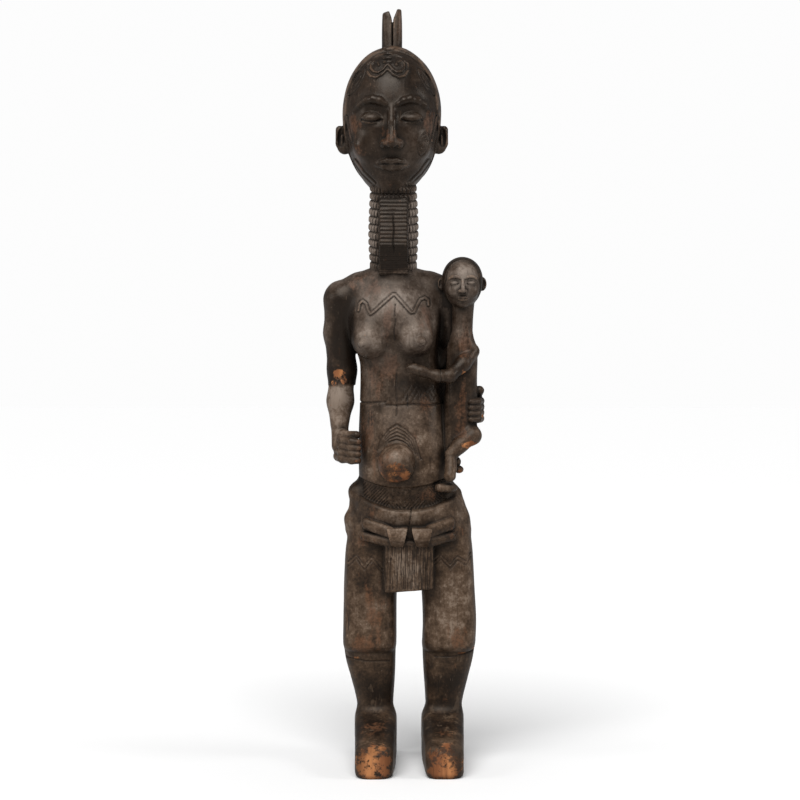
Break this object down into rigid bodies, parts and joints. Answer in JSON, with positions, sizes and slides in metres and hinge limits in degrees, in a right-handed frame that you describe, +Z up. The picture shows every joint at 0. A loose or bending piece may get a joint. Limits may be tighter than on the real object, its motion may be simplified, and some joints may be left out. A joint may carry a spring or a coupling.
{
  "type": "african maternity figure",
  "caption": "Standing carved wooden mother with a crested head, long scaled neck and wrapped cloth, holding a child on her left hip.",
  "frame": {"origin": "middle of the figure's box, on the plane of its soles", "axes": "+Z up from the soles to the crest, -Y the way the figure faces, +X to the viewer's right, the child's side"},
  "size_m": [0.2482, 0.2194, 1.1483],
  "materials": {
    "carved_wood": "dark brown-black patinated hardwood with a satin polish on the high places, rubbed through to orange-brown wood at the toes, navel and elbow"
  },
  "bodies": {
    "root": {"figure": "carved_wood"}
  },
  "joints": []
}
